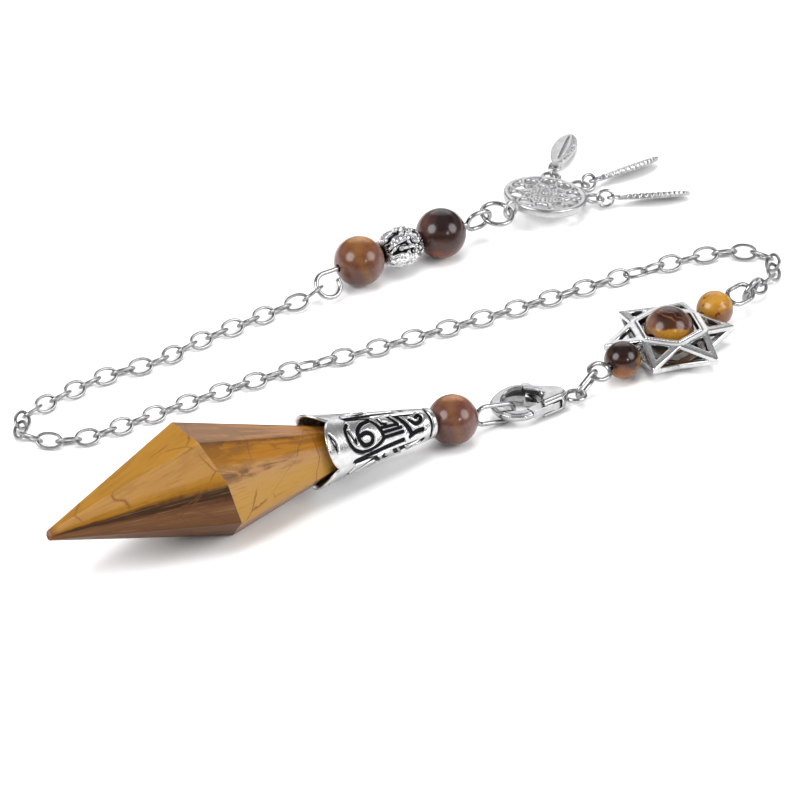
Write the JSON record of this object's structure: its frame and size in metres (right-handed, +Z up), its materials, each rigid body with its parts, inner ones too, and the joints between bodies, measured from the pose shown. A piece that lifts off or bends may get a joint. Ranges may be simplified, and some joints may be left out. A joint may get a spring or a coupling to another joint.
{
  "type": "pendulum pendant",
  "caption": "Faceted stone pendulum on a clasp, with a cable chain, an openwork star, round beads and a woven charm with feathers, laid out flat",
  "frame": {"origin": "middle of the footprint on the resting plane", "axes": "+Z up from the resting plane; +Y away from the viewer of the picture, from the stone's side toward the charm; +X to the right"},
  "size_m": [0.0942, 0.1066, 0.0147],
  "materials": {
    "tiger_eye": "polished, banded honey gold and dark brown",
    "brown_bead": "polished, brown with a silky gold band",
    "dark_bead": "polished, dark brown",
    "golden_bead": "polished, golden with dark spots",
    "banded_bead": "polished, brown with gold bands",
    "antique_silver": "cast alloy, darkened in the recesses",
    "star_silver": "bright plated, darkened in the grooves",
    "polished_silver": "polished plated alloy",
    "silver_wire": "bright plated wire",
    "chain_silver": "bright plated wire"
  },
  "bodies": {
    "pendant": {"stone": "tiger_eye", "bead_cap": "antique_silver", "pendulum_bead": "brown_bead", "pendulum_pin": "silver_wire", "clasp_body": "polished_silver", "clasp_link": "silver_wire", "star_pin": "silver_wire", "small_bead_1": "dark_bead", "small_bead_2": "golden_bead", "star_bead": "banded_bead", "star_frame": "star_silver", "star_ring": "silver_wire", "chain": "chain_silver", "strand_pin": "silver_wire", "strand_bead_1": "brown_bead", "strand_bead_2": "dark_bead", "carved_bead": "antique_silver", "charm_ring": "silver_wire", "charm": "antique_silver", "feather_ring_1": "silver_wire", "feather_ring_2": "silver_wire", "feather_ring_3": "silver_wire", "feather_1": "antique_silver", "feather_2": "antique_silver", "feather_3": "antique_silver"},
    "lever": {"clasp_lever": "polished_silver"}
  },
  "joints": [
    {"name": "clasp_lever_hinge", "type": "hinge", "parent": "pendant", "child": "lever", "pos_m": [0.01846, -0.01272, 0.00154], "axis": [0, 0, -1], "range_deg": [0, 20], "stiffness_Nm_per_rad": 0.0002}
  ]
}
